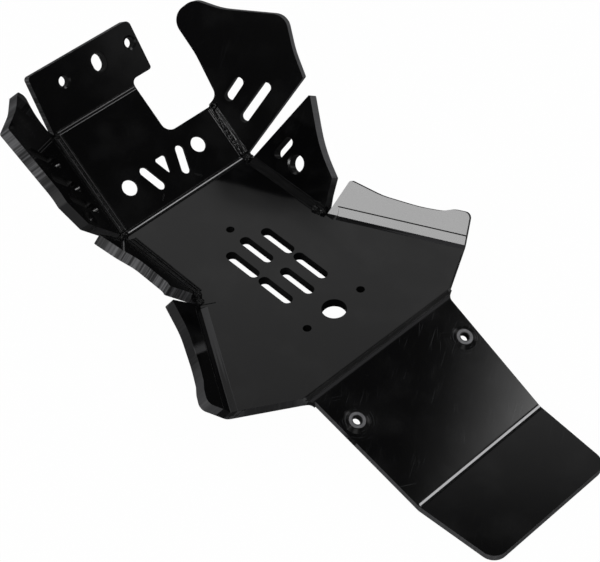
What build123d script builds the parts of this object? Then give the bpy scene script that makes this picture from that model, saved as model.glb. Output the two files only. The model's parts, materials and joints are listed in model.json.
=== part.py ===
from build123d import *
from math import cos, radians, sin
import os

os.makedirs("parts", exist_ok=True)

# Skid plate for an off-road motorcycle: one sheet of polyethylene, milled, folded and melted
# along its folds. Sizes are in millimetres. +Y is the bike's front, +X its right-hand side,
# +Z is up. The origin is the middle of the slot pattern on the inner face of the floor.

# Whole plate
PLATE_LENGTH = 495.0      # nominal length along Y, from the end of the flap to the front
PLATE_WIDTH = 274.0       # nominal width along X, across the wings

# Sheet and fold lines
SHEET = 8.0                              # thickness of the sheet
FOLD_X = 0.23 * PLATE_WIDTH              # from the centre plane to each side fold
FRONT_FOLD_Y = 0.2135 * PLATE_LENGTH     # fold between the floor and the front face
SIDE_FOLD_REAR_Y = 13.5                  # rear end of the side folds
SIDE_FOLD_FRONT_Y = FRONT_FOLD_Y - 6.1   # front end of the side folds of the floor

# Melted strips along the inside of the folds
STRIP = 4.8               # width of a strip on the wing, and on the floor at the left
RIGHT_STRIP = 3.0         # width on the floor and the face at the right
NARROW_STRIP = 1.8        # the same along the front, flange and flap folds
BEAD = 0.7                # radius of the bead along each edge of a strip
CROWN = 1.1               # radius of the bead along the middle of the front and flange folds
FLAP_CROWN = 1.5          # the same along the flap's fold

# Fold angles, each measured from the panel it leaves
FACE_ANGLE = 36.3
FLANGE_ANGLE = 19.2
FRONT_WING_ANGLE = 50.0
RIGHT_MID_WING_ANGLE = 55.0
LEFT_MID_WING_ANGLE = 48.0
REAR_WING_ANGLE = 48.0
TAIL_ANGLE = 20.0
FLAP_ANGLE = 20.0

# Flared rear of the floor
RIGHT_CREASE_X = FOLD_X + 2.8            # front end of the right rear fold
RIGHT_CREASE_Y = 12.4
LEFT_CREASE_X = FOLD_X + 5.4             # front end of the left rear fold
LEFT_CREASE_Y = 10.0
RIGHT_FLARE = 27.2                       # degrees between the right rear fold and the centre plane
LEFT_FLARE = 29.1                        # the same on the left
RIGHT_CREASE = 0.2228 * PLATE_LENGTH     # length of the right rear fold
LEFT_CREASE = 0.2121 * PLATE_LENGTH
TAIL_Y = -0.2188 * PLATE_LENGTH          # bend between the floor and the tail
KERF_X = 64.0                            # middle of the short saw cut in front of the left rear wing
KERF_Y = 6.9
KERF_LENGTH = 13.0
KERF_WIDTH = 0.9
KERF_ANGLE = 30.0

# How far each wing reaches from its fold
RIGHT_FRONT_REACH = 0.3504 * PLATE_WIDTH
LEFT_FRONT_REACH = 0.3066 * PLATE_WIDTH
RIGHT_MID_REACH = 0.2712 * PLATE_WIDTH
LEFT_MID_REACH = 0.1734 * PLATE_WIDTH
RIGHT_REAR_REACH = 0.1058 * PLATE_WIDTH
LEFT_REAR_REACH = 0.1168 * PLATE_WIDTH

# Front face
FACE_HEIGHT = 0.1891 * PLATE_LENGTH      # along the face, from the front fold to the flange fold
CUTOUT_X = 18.0                          # left side of the cut-out for the exhaust pipe
CUTOUT_BOTTOM = 0.529 * FACE_HEIGHT      # lower side of that cut-out, along the face
CUTOUT_ROUND = 8.0
VENT_RADIUS = 6.7
VENT_X = 35.4
VENT_HEIGHT = 29.0
FACE_SLOT_LENGTH = 24.3
FACE_SLOT_X = 15.6
FACE_SLOT_MIDDLE = 0.6    # middle of the pair of slots
FACE_SLOT_WIDTH = 7.7
FACE_SLOT_HEIGHT = 25.6
FACE_SLOT_LEAN = 18.7     # degrees each slot leans outwards
SLOT_WIDTH = 8.7
FLARE_DEPTH = 4.8         # the openings of the face widen outwards over this depth
FLARE = 3.6               # by this much on each side
TRIANGLE_TOP = 37.0       # small three-cornered vent between the slots
TRIANGLE_TIP = 22.5

# Upper flange
FLANGE_HEIGHT = 0.0998 * PLATE_LENGTH
FLANGE_RIGHT_X = 38.3
FLANGE_STEP = 6.5         # height of the step beside the cut-out
FLANGE_HOLE_RADIUS = 4.2
FLANGE_HOLE_HEIGHT = 33.0
FLANGE_HOLE_SPACING = 65.6
FLANGE_HOLE_X = -2.1      # middle of the pair
LOCATING_X = -1.1         # oval hole between the pair
LOCATING_HEIGHT = 32.0
LOCATING_LENGTH = 14.4
LOCATING_WIDTH = 11.4
RIM = 1.6                 # width of the eased rim round the flange's holes and a wing's hole
RIM_DEPTH = 0.8
OVAL_RIM_DEPTH = 0.5

# Floor openings
FLOOR_SLOT_LENGTH = 34.0
COLUMN_PITCH = 18.06
OUTER_ROW_Y = 18.4
MIDDLE_ROW_Y = 22.7
BOLT_RADIUS = 3.3         # clearance for M6
FRONT_BOLT_Y = 52.8
REAR_BOLT_Y = -62.7
REAR_BOLT_X = 27.5
DRAIN_RADIUS = 9.5

# Tail and end flap
TAIL_LENGTH = 0.2182 * PLATE_LENGTH
TAIL_HALF_TOP = 0.2544 * PLATE_WIDTH     # half width just below the shoulders
TAIL_HALF_END = 0.2318 * PLATE_WIDTH
SHOULDER_X = TAIL_HALF_TOP + 5.8         # half width where the floor meets the bend
SHOULDER_RUN = 6.4                       # length of the shoulders down the tail
TAIL_BOLT_X = TAIL_HALF_TOP - 14.2
TAIL_BOLT_RUN = 33.8                     # down the tail, from the bend to the bolt holes
FLAP_LENGTH = 0.136 * PLATE_LENGTH
FLAP_HALF_END = 0.2143 * PLATE_WIDTH
FLAP_ROUND = 11.0
UNDER_CHAMFER = 2.4                      # eased lower edge of the tail and the flap

# Seats of the tail bolts: pressed up from below, so that the bolt heads stay inside the sheet
SEAT_BASE_RADIUS = 9.8
SEAT_TOP_RADIUS = 6.6
SEAT_HEIGHT = 2.0
SEAT_ROUND = 0.8
HEAD_RADIUS = 8.0
HEAD_DEPTH = 4.4

# Milled V along the folds of the rear wings
MILLED_FLOOR = 5.0        # reach of the V on the floor
MILLED_WING = 7.0         # reach of the V on the wing
MILLED_DEPTH = 0.7

# Openings in the wings
WING_SLOT_WIDTH = 8.2
LEFT_SLOT_LENGTH = 44.5
RIGHT_SHORT_SLOT = 22.2
RIGHT_LONG_SLOT = 39.0
MID_SLOT_LENGTH = 21.5
MID_HOLE_RADIUS = 7.0
LEFT_HOLE_RADIUS = 6.5


def folded(parent, foot, heading, angle):
    """Plane of a panel folded up out of parent; its x runs along the fold, its y away from it."""
    corner = parent.from_local_coords(Vector(*foot))
    along = parent.x_dir * cos(radians(heading)) + parent.y_dir * sin(radians(heading))
    away = parent.z_dir.cross(along)
    normal = parent.z_dir * cos(radians(angle)) - away * sin(radians(angle))
    return Plane(corner, x_dir=along, z_dir=normal)


def bent_down(parent, foot, heading, angle):
    """Plane of a panel bent down out of parent about the underside of the sheet."""
    level = folded(parent, foot, heading, 0)
    lowered = folded(parent, foot, heading, -angle)
    lowered.origin = level.origin - level.z_dir * SHEET + lowered.z_dir * SHEET
    return lowered


def outline(corners):
    """Closed face through corners given as (x, y, rounding radius)."""
    points = [(x, y) for x, y, radius in corners]
    radii = [radius for x, y, radius in corners]
    return make_face(FilletPolyline(*points, radius=radii, close=True))


def panel(plane, corners, side=1):
    """Flat piece of sheet below plane; side -1 reads the corners backwards along the fold."""
    turned = [(side * x, y, radius) for x, y, radius in corners]
    return extrude(plane * outline(turned), SHEET, dir=-plane.z_dir)


def shares(length, reach, corners):
    """Corners given as shares of a length along a fold and of a reach away from it."""
    return [(length * along, reach * away, reach * radius) for along, away, radius in corners]


def fold(parent, foot, heading, start, end, angle, under=0):
    """Bent piece of sheet along a fold, from start to end; under chamfers its outer corners."""
    level = folded(parent, foot, heading, 0)
    section = Plane(level.origin, x_dir=level.x_dir, z_dir=level.y_dir)
    lower = [(end, SHEET - under), (end - under, SHEET), (start + under, SHEET), (start, SHEET - under)]
    if under == 0:
        lower = [(end, SHEET), (start, SHEET)]
    strip = section * make_face(Polyline((start, 0), (end, 0), *lower, close=True))
    return revolve(strip, Axis(level.origin, level.x_dir), revolution_arc=angle)


def bend(parent, foot, heading, start, end, angle):
    """Bent piece of sheet along a bend that goes down, turned about the underside."""
    level = folded(parent, foot, heading, 0)
    section = Plane(level.origin, x_dir=level.x_dir, z_dir=level.y_dir)
    strip = section * Pos((start + end) / 2, SHEET / 2) * Rectangle(end - start, SHEET)
    return revolve(strip, Axis(level.origin - level.z_dir * SHEET, -level.x_dir), revolution_arc=angle)


def melt_strip(child, start, end, angle, width, parent_width, crown=0):
    """Melted filling in the inside corner of a fold, with a bead along each edge and a crown."""
    across = Plane(child.from_local_coords(Vector(start, 0, 0)), x_dir=child.y_dir, z_dir=child.x_dir)
    near = Vector(width, 0)
    far = Vector(-parent_width * cos(radians(angle)), parent_width * sin(radians(angle)))
    middle = (near + far) * 0.5
    below = (near + far).normalized() * -1.0
    section = make_face(Polyline((near.X, near.Y), (far.X, far.Y), (below.X, below.Y), close=True))
    section += Pos(near.X, near.Y) * Circle(BEAD) + Pos(far.X, far.Y) * Circle(BEAD)
    if crown > 0:
        section += Pos(middle.X, middle.Y) * Circle(crown)
    return extrude(across * section, end - start, dir=child.x_dir)


def round_hole(plane, x, y, radius):
    """Cutter for a round hole through the sheet."""
    return plane * Pos(x, y, -SHEET / 2) * Cylinder(radius, 3 * SHEET)


def rim(plane, x, y, radius):
    """Cutter that eases the rim of a round hole in the inner face."""
    return plane * Pos(x, y, 0) * Cone(radius, radius + 2 * RIM, 2 * RIM_DEPTH)


def flared(plane, shape):
    """Cutter for an opening of the given shape that widens towards the outside of the sheet."""
    straight = extrude(plane * Pos(0, 0, -SHEET) * shape, 3 * SHEET, dir=plane.z_dir)
    inner = plane * Pos(0, 0, FLARE_DEPTH - SHEET) * shape
    outer = plane * Pos(0, 0, -SHEET) * offset(shape, FLARE)
    return straight + loft([inner, outer])


def slot(plane, x, y, length, width, angle):
    """Cutter for a slot through the sheet, its length at angle from the plane's x."""
    shape = Pos(x, y, -SHEET) * Rot(0, 0, angle) * SlotOverall(length, width)
    return extrude(plane * Pos(0, 0, -SHEET) * shape, 3 * SHEET, dir=plane.z_dir)


def seat_boss(plane, x, y):
    """Low round boss where a bolt seat is pressed up out of the sheet."""
    sunk = 1.0
    base = Pos(0, 0, -sunk / 2) * Cylinder(SEAT_BASE_RADIUS, sunk)
    dome = Pos(0, 0, SEAT_HEIGHT / 2) * Cone(SEAT_BASE_RADIUS, SEAT_TOP_RADIUS, SEAT_HEIGHT)
    top_edge = dome.edges().filter_by(GeomType.CIRCLE).sort_by(Axis.Z)[-1]
    return plane * Pos(x, y, 0) * (base + fillet(top_edge, SEAT_ROUND))


def seat_cut(plane, x, y):
    """Cutter for a bolt hole with a round recess for its head in the underside."""
    head = plane * Pos(x, y, -SHEET) * Cylinder(HEAD_RADIUS, 2 * HEAD_DEPTH)
    return round_hole(plane, x, y, BOLT_RADIUS) + head


def side_ease(plane, start, end):
    """Cutter for the chamfer under an edge from start to past end, the outside on its right."""
    first = plane.from_local_coords(Vector(*start, -SHEET))
    run = plane.from_local_coords(Vector(*end, -SHEET)) - first
    along = run.normalized()
    section = Plane(first, x_dir=along.cross(plane.z_dir), z_dir=-along)
    spare = 1.0
    reach = UNDER_CHAMFER + spare
    corner = make_face(Polyline((-reach, -spare), (spare, reach), (spare, -spare), close=True))
    return extrude(section * corner, run.length + spare, dir=along)


def eased_tip(body):
    """Chamfer the lower edges round the free end of the flap."""
    lower_edges = []
    for edge in body.edges():
        spot = flap.to_local_coords(edge.center())
        if abs(spot.Z + SHEET) < 0.01 < spot.Y:
            lower_edges.append(edge)
    return chamfer(lower_edges, UNDER_CHAMFER)


def milled_v(parent, foot, heading, start, end, angle):
    """Cutter for the shallow V milled along a fold before it was bent."""
    level = folded(parent, foot, heading, 0)
    across = Plane(level.from_local_coords(Vector(start, 0, 0)), x_dir=level.y_dir, z_dir=level.x_dir)
    lean = radians(angle)
    wing = (MILLED_WING * cos(lean), MILLED_WING * sin(lean))
    crease = (MILLED_DEPTH * sin(lean / 2), -MILLED_DEPTH * cos(lean / 2))
    section = make_face(Polyline((-MILLED_FLOOR, 0), crease, wing, close=True))
    return extrude(across * section, end - start, dir=level.x_dir)


def flare_point(side, run):
    """Point on the rear fold of one side, run along it from its front end."""
    start_x = RIGHT_CREASE_X if side > 0 else LEFT_CREASE_X
    start_y = RIGHT_CREASE_Y if side > 0 else LEFT_CREASE_Y
    flare = RIGHT_FLARE if side > 0 else LEFT_FLARE
    x = side * (start_x + run * sin(radians(flare)))
    return x, start_y - run * cos(radians(flare))


floor = Plane.XY
face = folded(floor, (0, FRONT_FOLD_Y), 0, FACE_ANGLE)
flange = folded(face, (0, FACE_HEIGHT), 0, FLANGE_ANGLE)
tail = bent_down(floor, (0, TAIL_Y), 180, TAIL_ANGLE)
flap = folded(tail, (0, TAIL_LENGTH), 0, FLAP_ANGLE)


def floor_panel():
    """Floor between the folds, flared at the rear, with the slots, bolt holes and drain."""
    right = [flare_point(1, 0), flare_point(1, RIGHT_CREASE), (SHOULDER_X, TAIL_Y)]
    left = [(-SHOULDER_X, TAIL_Y), flare_point(-1, LEFT_CREASE), flare_point(-1, 0)]
    corners = [(FOLD_X, FRONT_FOLD_Y), (FOLD_X, SIDE_FOLD_REAR_Y)] + right + left
    corners += [(-FOLD_X, SIDE_FOLD_REAR_Y), (-FOLD_X, FRONT_FOLD_Y)]
    return panel(floor, [(x, y, 0) for x, y in corners])


def floor_cuts():
    """Slots, bolt holes and drain hole of the floor, and the saw cut at its left edge."""
    cuts = [round_hole(floor, 0, FRONT_BOLT_Y, BOLT_RADIUS)]
    cuts += [round_hole(floor, x, REAR_BOLT_Y, BOLT_RADIUS) for x in (-REAR_BOLT_X, REAR_BOLT_X)]
    cuts += [round_hole(floor, 0, REAR_BOLT_Y, DRAIN_RADIUS)]
    for row in (-1, 1):
        cuts += [slot(floor, 0, row * MIDDLE_ROW_Y, FLOOR_SLOT_LENGTH, SLOT_WIDTH, 90)]
        for column in (-COLUMN_PITCH, COLUMN_PITCH):
            cuts += [slot(floor, column, row * OUTER_ROW_Y, FLOOR_SLOT_LENGTH, SLOT_WIDTH, 90)]
    kerf = Pos(-KERF_X, KERF_Y, 0) * Rot(0, 0, -KERF_ANGLE) * Box(KERF_LENGTH, KERF_WIDTH, SHEET / 2)
    return cuts + [kerf]


def face_panel():
    """Front face, with the corner cut away for the exhaust pipe."""
    corners = [(-FOLD_X, 0, 0), (FOLD_X, 0, 0), (FOLD_X, CUTOUT_BOTTOM, 0)]
    corners += [(CUTOUT_X, CUTOUT_BOTTOM, CUTOUT_ROUND), (CUTOUT_X, FACE_HEIGHT, 0)]
    return panel(face, corners + [(-FOLD_X, FACE_HEIGHT, 0)])


def face_cuts():
    """Two round vents, two leaning slots and the small three-cornered vent between them."""
    shapes = []
    for side in (-1, 1):
        upright = SlotOverall(FACE_SLOT_LENGTH, FACE_SLOT_WIDTH)
        leaning = Rot(0, 0, 90 - side * FACE_SLOT_LEAN) * upright
        shapes += [Pos(side * VENT_X, VENT_HEIGHT) * Circle(VENT_RADIUS)]
        shapes += [Pos(FACE_SLOT_MIDDLE + side * FACE_SLOT_X, FACE_SLOT_HEIGHT) * leaning]
    top = [(-5.5, TRIANGLE_TOP, 2), (6, TRIANGLE_TOP, 2)]
    shapes += [outline(top + [(1.5, TRIANGLE_TIP, 1.2), (-0.5, TRIANGLE_TIP, 1.2)])]
    return [flared(face, shape) for shape in shapes]


def flange_panel():
    """Upper flange, which reaches a little to the right over the cut-out."""
    corners = [(-FOLD_X, 0, 0), (CUTOUT_X, 0, 0), (CUTOUT_X, FLANGE_STEP, 4.5)]
    corners += [(FLANGE_RIGHT_X, FLANGE_STEP, 2.5), (FLANGE_RIGHT_X, FLANGE_HEIGHT, 4.5)]
    return panel(flange, corners + [(-FOLD_X + 2, FLANGE_HEIGHT, 3)])


def flange_cuts():
    """Pair of bolt holes with the oval locating hole between them, their rims eased."""
    cuts = [slot(flange, LOCATING_X, LOCATING_HEIGHT, LOCATING_LENGTH, LOCATING_WIDTH, 90)]
    wide = SlotOverall(LOCATING_LENGTH + 2 * RIM, LOCATING_WIDTH + 2 * RIM)
    ring = Pos(LOCATING_X, LOCATING_HEIGHT) * Rot(0, 0, 90) * wide
    cuts += [extrude(flange * ring, OVAL_RIM_DEPTH, both=True)]
    for side in (-1, 1):
        x = FLANGE_HOLE_X + side * FLANGE_HOLE_SPACING / 2
        cuts += [round_hole(flange, x, FLANGE_HOLE_HEIGHT, FLANGE_HOLE_RADIUS)]
        cuts += [rim(flange, x, FLANGE_HOLE_HEIGHT, FLANGE_HOLE_RADIUS)]
    return cuts


def right_front_wing():
    """Wing folded off the right edge of the front face, below the cut-out."""
    plane = folded(face, (FOLD_X, 0), -90, FRONT_WING_ANGLE)
    reach = RIGHT_FRONT_REACH
    corners = [(0, 0, 0), (0.545, 0, 0), (0.571, 0.101, 0.083), (0.962, 0.16, 0.833)]
    corners += [(1.346, 0.166, 0.135), (1.346, 0.412, 0.135), (1.138, 0.565, 0.625)]
    corners += [(0.765, 1, 0.13), (0.481, 0.881, 0.833), (0.251, 0.822, 0.016)]
    body = panel(plane, shares(FACE_HEIGHT, reach, corners), -1)
    body += fold(face, (FOLD_X, 0), -90, -CUTOUT_BOTTOM, 0, FRONT_WING_ANGLE)
    body += melt_strip(plane, -CUTOUT_BOTTOM + 2, -3, FRONT_WING_ANGLE, STRIP, RIGHT_STRIP)
    short_x, short_y = 0.5235 * FACE_HEIGHT, 0.2635 * reach
    long_x, long_y = 0.3237 * FACE_HEIGHT, 0.3542 * reach
    cuts = [slot(plane, -short_x, short_y, RIGHT_SHORT_SLOT, WING_SLOT_WIDTH, -71.5)]
    cuts += [slot(plane, -long_x, long_y, RIGHT_LONG_SLOT, WING_SLOT_WIDTH, -73)]
    return body, cuts


def left_front_wing():
    """Taller wing folded off the left edge of the front face, with a tip beside the flange."""
    plane = folded(face, (-FOLD_X, 0), 90, FRONT_WING_ANGLE)
    reach = LEFT_FRONT_REACH
    corners = [(0, 0, 0), (1, 0, 0), (1.058, 0.095, 0.048), (1.229, 0.131, 0.357)]
    corners += [(1.4, 0.052, 0.048), (1.453, 0.161, 0.071), (1.293, 0.512, 1.19), (1.146, 1, 0.018)]
    corners += [(0.534, 0.812, 0.262), (0.433, 0.822, 0.036), (0.206, 0.664, 0.018)]
    body = panel(plane, shares(FACE_HEIGHT, reach, corners))
    body += fold(face, (-FOLD_X, 0), 90, 0, FACE_HEIGHT, FRONT_WING_ANGLE)
    body += melt_strip(plane, 3, FACE_HEIGHT - 1, FRONT_WING_ANGLE, STRIP, STRIP)
    cuts = [round_hole(plane, 0.2447 * FACE_HEIGHT, 0.4821 * reach, LEFT_HOLE_RADIUS)]
    for along, away, lean in ((0.834, 0.613, 67.6), (0.5876, 0.518, 70.3), (0.376, 0.438, 67.5)):
        x, y = along * FACE_HEIGHT, away * reach
        cuts += [slot(plane, x, y, LEFT_SLOT_LENGTH, WING_SLOT_WIDTH, lean)]
    return body, cuts


def right_mid_wing():
    """Wing folded up from the right edge of the floor."""
    foot = (FOLD_X, SIDE_FOLD_REAR_Y)
    span = SIDE_FOLD_FRONT_Y - SIDE_FOLD_REAR_Y
    plane = folded(floor, foot, -90, RIGHT_MID_WING_ANGLE)
    corners = [(1, 0, 0), (0.689, 1, 0.016), (0.344, 0.565, 1.561), (0.087, 0.381, 0.0135)]
    corners += [(0.052, 0.188, 0.404), (0, 0, 0)]
    body = panel(plane, shares(span, RIGHT_MID_REACH, corners), -1)
    body += fold(floor, foot, -90, -span, 0, RIGHT_MID_WING_ANGLE)
    body += melt_strip(plane, -span + 2, -3, RIGHT_MID_WING_ANGLE, STRIP, RIGHT_STRIP)
    hole_x, hole_y = 0.5087 * span, 0.28 * RIGHT_MID_REACH
    cuts = [round_hole(plane, -hole_x, hole_y, MID_HOLE_RADIUS)]
    cuts += [rim(plane, -hole_x, hole_y, MID_HOLE_RADIUS)]
    slot_x, slot_y = 0.7108 * span, 0.3392 * RIGHT_MID_REACH
    cuts += [slot(plane, -slot_x, slot_y, MID_SLOT_LENGTH, SLOT_WIDTH, 71.2)]
    return body, cuts


def left_mid_wing():
    """Lower wing folded up from the left edge of the floor."""
    foot = (-FOLD_X, SIDE_FOLD_REAR_Y)
    span = SIDE_FOLD_FRONT_Y - SIDE_FOLD_REAR_Y
    rear = 0.06
    plane = folded(floor, foot, 90, LEFT_MID_WING_ANGLE)
    corners = [(1, 0, 0), (0.912, 1, 0.053), (0.679, 0.827, 0.253), (0.54, 0.604, 0.295)]
    corners += [(0.155, 0.604, 0.211), (0.1, 0.7, 0.021), (rear, 0, 0)]
    body = panel(plane, shares(span, LEFT_MID_REACH, corners))
    body += fold(floor, foot, 90, rear * span, span, LEFT_MID_WING_ANGLE)
    body += melt_strip(plane, rear * span + 2, span - 2, LEFT_MID_WING_ANGLE, STRIP, STRIP)
    return body, []


def rear_wing(side, crease, reach, corners, milled_from):
    """Low wing along the flared rear edge of the floor, with the V milled along its fold."""
    heading = -90 + RIGHT_FLARE if side > 0 else 90 - LEFT_FLARE
    foot = flare_point(side, 0)
    plane = folded(floor, foot, heading, REAR_WING_ANGLE)
    ends = (0, crease) if side > 0 else (-crease, 0)
    body = panel(plane, shares(crease, reach, corners), side)
    body += fold(floor, foot, heading, ends[0], ends[1], REAR_WING_ANGLE)
    start, end = (milled_from, crease + 1) if side > 0 else (-crease - 1, -milled_from)
    return body, [milled_v(floor, foot, heading, start, end, REAR_WING_ANGLE)]


def right_rear_wing():
    """Right rear wing."""
    corners = [(0, 0, 0), (0.109, 1, 0.069), (0.351, 0.779, 2.07), (0.65, 0.7, 5.17)]
    corners += [(0.795, 0.741, 0.517), (0.868, 0.848, 0.517), (0.994, 0.855, 0.172), (1, 0, 0)]
    return rear_wing(1, RIGHT_CREASE, RIGHT_REAR_REACH, corners, 8)


def left_rear_wing():
    """Left rear wing, with a taller front corner."""
    corners = [(0, 0, 0), (0.098, 1, 0.0625), (0.343, 0.719, 1.875), (0.657, 0.65, 4.69)]
    corners += [(0.81, 0.67, 0.47), (0.893, 0.735, 0.47), (1.019, 0.755, 0.156), (1, 0, 0)]
    return rear_wing(-1, LEFT_CREASE, LEFT_REAR_REACH, corners, 3)


def face_and_flange_folds():
    """Folds across the front of the plate."""
    front = fold(floor, (0, FRONT_FOLD_Y), 0, -FOLD_X, FOLD_X, FACE_ANGLE)
    upper = fold(face, (0, FACE_HEIGHT), 0, -FOLD_X, CUTOUT_X, FLANGE_ANGLE)
    narrow = NARROW_STRIP
    front_strip = melt_strip(face, -FOLD_X + 3, FOLD_X - 3, FACE_ANGLE, narrow, narrow, CROWN)
    upper_strip = melt_strip(flange, -FOLD_X + 3, CUTOUT_X - 1, FLANGE_ANGLE, narrow, narrow, CROWN)
    return front + upper + front_strip + upper_strip


def tail_end():
    """Tail bent down behind the floor and the flap folded level again at its end."""
    end = TAIL_HALF_END
    down = bend(floor, (0, TAIL_Y), 180, -SHOULDER_X, SHOULDER_X, TAIL_ANGLE)
    right = [(SHOULDER_X, 0, 0), (TAIL_HALF_TOP, SHOULDER_RUN / 2, 6), (end, TAIL_LENGTH, 0)]
    left = [(-end, TAIL_LENGTH, 0), (-TAIL_HALF_TOP, SHOULDER_RUN / 2, 6), (-SHOULDER_X, 0, 0)]
    ease = side_ease(tail, (TAIL_HALF_TOP, SHOULDER_RUN), (end, TAIL_LENGTH))
    ramp = panel(tail, right + left) - ease - mirror(ease, Plane.YZ)
    up = fold(tail, (0, TAIL_LENGTH), 0, -end, end, FLAP_ANGLE, UNDER_CHAMFER)
    tip = [(FLAP_HALF_END, FLAP_LENGTH, FLAP_ROUND), (-FLAP_HALF_END, FLAP_LENGTH, FLAP_ROUND)]
    last = eased_tip(panel(flap, [(-end, 0, 0), (end, 0, 0)] + tip))
    strip = melt_strip(flap, -end + 1, end - 1, FLAP_ANGLE, NARROW_STRIP, NARROW_STRIP, FLAP_CROWN)
    bosses = [seat_boss(tail, side * TAIL_BOLT_X, TAIL_BOLT_RUN) for side in (-1, 1)]
    return down + ramp + up + last + strip + bosses


wings = [right_front_wing(), left_front_wing(), right_mid_wing(), left_mid_wing()]
wings += [right_rear_wing(), left_rear_wing()]
plate = floor_panel() + face_panel() + flange_panel() + face_and_flange_folds() + tail_end()
for wing, wing_cuts in wings:
    plate += wing
cutters = floor_cuts() + face_cuts() + flange_cuts()
cutters += [seat_cut(tail, side * TAIL_BOLT_X, TAIL_BOLT_RUN) for side in (-1, 1)]
for wing, wing_cuts in wings:
    cutters += wing_cuts
plate -= cutters

export_step(plate, "parts/skid_plate.step")
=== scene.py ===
"""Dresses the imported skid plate: one folded sheet of glossy black polyethylene on a white sweep."""

from __future__ import annotations

import json
import logging
import math
from dataclasses import dataclass
from enum import Enum

import bmesh
import bpy
from mathutils import Matrix, Vector, noise

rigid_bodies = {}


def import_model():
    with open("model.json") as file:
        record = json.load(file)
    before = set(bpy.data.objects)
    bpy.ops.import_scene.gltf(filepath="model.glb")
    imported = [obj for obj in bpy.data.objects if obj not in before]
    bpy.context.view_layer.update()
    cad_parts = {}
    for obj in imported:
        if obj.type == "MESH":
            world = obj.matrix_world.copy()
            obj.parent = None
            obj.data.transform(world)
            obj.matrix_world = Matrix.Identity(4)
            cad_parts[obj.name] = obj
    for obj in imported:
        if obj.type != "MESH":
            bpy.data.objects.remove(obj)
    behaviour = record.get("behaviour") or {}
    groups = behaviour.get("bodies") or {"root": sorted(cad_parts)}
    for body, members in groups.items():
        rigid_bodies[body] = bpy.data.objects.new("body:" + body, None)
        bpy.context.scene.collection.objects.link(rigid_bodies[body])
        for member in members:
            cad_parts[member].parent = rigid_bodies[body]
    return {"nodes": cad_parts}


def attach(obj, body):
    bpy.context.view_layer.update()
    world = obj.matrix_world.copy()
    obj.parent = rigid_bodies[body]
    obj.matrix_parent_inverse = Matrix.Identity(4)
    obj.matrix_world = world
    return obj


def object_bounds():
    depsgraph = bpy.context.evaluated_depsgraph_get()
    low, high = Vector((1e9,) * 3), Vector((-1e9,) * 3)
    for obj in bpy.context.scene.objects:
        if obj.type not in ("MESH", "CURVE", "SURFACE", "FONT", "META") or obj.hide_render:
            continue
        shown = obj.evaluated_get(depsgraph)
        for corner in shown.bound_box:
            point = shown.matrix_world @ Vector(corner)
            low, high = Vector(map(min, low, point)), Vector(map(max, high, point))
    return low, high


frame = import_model()
CAD_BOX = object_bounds()

LOG = logging.getLogger("skid_plate")
MM = 0.001
PLASTIC_IOR = 1.5
MORE_DETAIL = 2.0
WHITE = (1.0, 1.0, 1.0, 1.0)
MIX_INPUTS = {"FLOAT": 2, "VECTOR": 4, "RGBA": 6}

Socket = bpy.types.NodeSocket
Value = Socket | float
Color = tuple[float, float, float, float]
Span = tuple[float, float]
Triple = tuple[float, float, float]


class Panel(Enum):
    """Flat panels of the plate, named by where they are on the bike."""

    FLOOR = "floor"
    FACE = "face"
    FLANGE = "flange"
    TAIL = "tail"
    FLAP = "flap"
    RIGHT_FRONT = "right_front_wing"
    LEFT_FRONT = "left_front_wing"
    RIGHT_MID = "right_mid_wing"
    LEFT_MID = "left_mid_wing"
    RIGHT_REAR = "right_rear_wing"
    LEFT_REAR = "left_rear_wing"


@dataclass(frozen=True)
class Fold:
    """A fold line: where it starts on its parent, its heading there and the angle it turns."""

    parent: Matrix
    foot: Span
    heading: float
    angle: float

    def frame(self) -> Matrix:
        """Return the folded panel's frame: x along the fold, y away from it, z out of its inner face.

        Returns:
            The frame, in metres.
        """
        turn = Matrix.Rotation(math.radians(self.heading), 4, "Z")
        tilt = Matrix.Rotation(math.radians(self.angle), 4, "X")
        place = Matrix.Translation(Vector((self.foot[0] * MM, self.foot[1] * MM, 0.0)))
        return self.parent @ place @ turn @ tilt


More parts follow.
